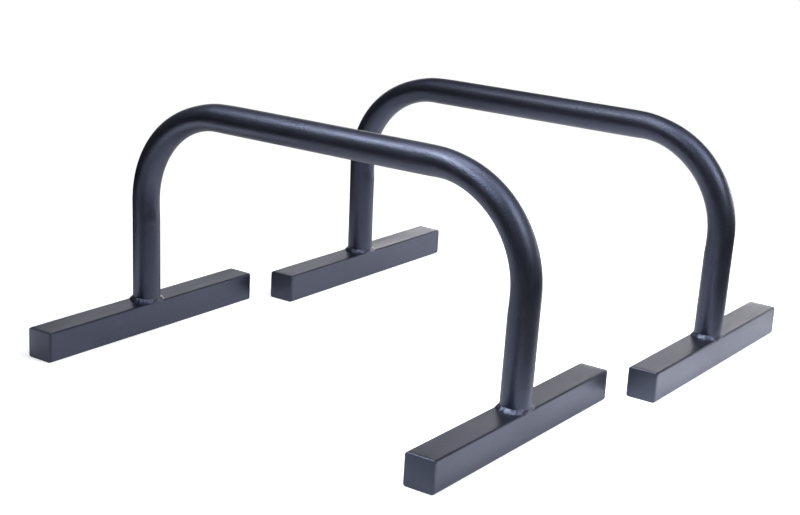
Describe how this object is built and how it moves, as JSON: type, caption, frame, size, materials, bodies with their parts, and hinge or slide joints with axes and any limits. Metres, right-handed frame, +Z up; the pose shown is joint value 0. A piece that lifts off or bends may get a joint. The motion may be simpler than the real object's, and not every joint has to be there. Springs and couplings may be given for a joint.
{
  "type": "parallette bars",
  "caption": "Pair of low parallel bars for floor training: bent round steel handles welded to square steel feet that have plastic end caps.",
  "frame": {"origin": "on the floor, at the centre of the pair's footprint", "axes": "+X along the grips, +Y from the near bar to the far bar, +Z up"},
  "size_m": [0.6976, 0.814, 0.333],
  "materials": {
    "handle_coat": "black powder coat, satin, with a fine grain",
    "foot_coat": "black powder coat, satin, smoother than on the handle",
    "weld_coat": "black powder coat over a rippled weld bead",
    "cap_plastic": "black moulded polyethylene, satin"
  },
  "bodies": {
    "near_bar": {"near_handle_tube": "handle_coat", "near_left_foot_tube": "foot_coat", "near_right_foot_tube": "foot_coat", "near_left_front_cap": "cap_plastic", "near_left_rear_cap": "cap_plastic", "near_right_front_cap": "cap_plastic", "near_right_rear_cap": "cap_plastic", "near_left_weld": "weld_coat", "near_right_weld": "weld_coat"},
    "far_bar": {"far_handle_tube": "handle_coat", "far_left_foot_tube": "foot_coat", "far_right_foot_tube": "foot_coat", "far_left_front_cap": "cap_plastic", "far_left_rear_cap": "cap_plastic", "far_right_front_cap": "cap_plastic", "far_right_rear_cap": "cap_plastic", "far_left_weld": "weld_coat", "far_right_weld": "weld_coat"}
  },
  "joints": [
    {"name": "bar_spacing_slide", "type": "slide", "parent": "near_bar", "child": "far_bar", "axis": [0, 1, 0], "range_m": [-0.12, 0.24]}
  ]
}
